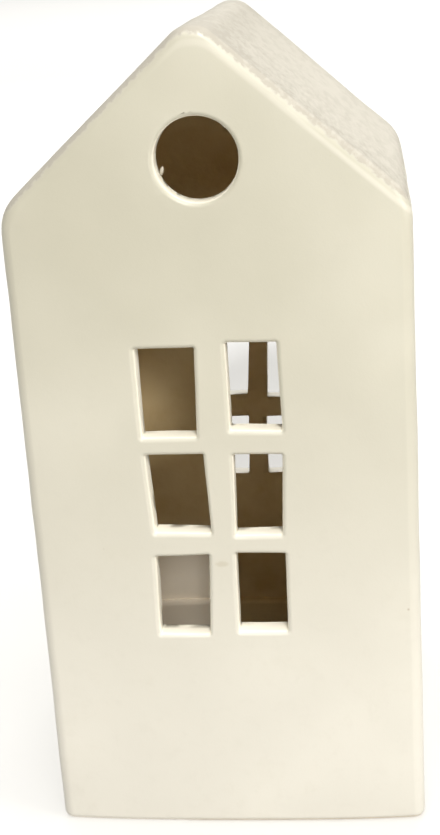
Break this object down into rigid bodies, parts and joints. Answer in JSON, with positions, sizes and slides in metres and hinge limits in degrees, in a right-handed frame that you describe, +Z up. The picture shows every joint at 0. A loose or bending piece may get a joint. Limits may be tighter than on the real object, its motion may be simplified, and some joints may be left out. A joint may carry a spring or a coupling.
{
  "type": "tealight house",
  "caption": "Tall ceramic house with a pitched roof, a round gable window and hand-cut panes, open underneath, that stands over a tealight and lets its light shine out.",
  "frame": {"origin": "on the table, under the middle of the house", "axes": "+Z up, +X to the right of the front gable, the front gable facing -Y"},
  "size_m": [0.0804, 0.088, 0.1701],
  "materials": {
    "glazed_ceramic": "satin cream glaze",
    "aluminium_sheet": "bright drawn sheet",
    "wax": "white paraffin wax",
    "cotton": "waxed cotton",
    "tinplate": "stamped tinplate"
  },
  "bodies": {
    "tealight": {"tealight_cup": "aluminium_sheet", "wax_fill": "wax", "wick": "cotton", "wick_tab": "tinplate"},
    "house": {"house_shell": "glazed_ceramic"}
  },
  "joints": [
    {"name": "house_lift", "type": "slide", "parent": "tealight", "child": "house", "axis": [0, 0, 1], "range_m": [0, 0.06]}
  ]
}
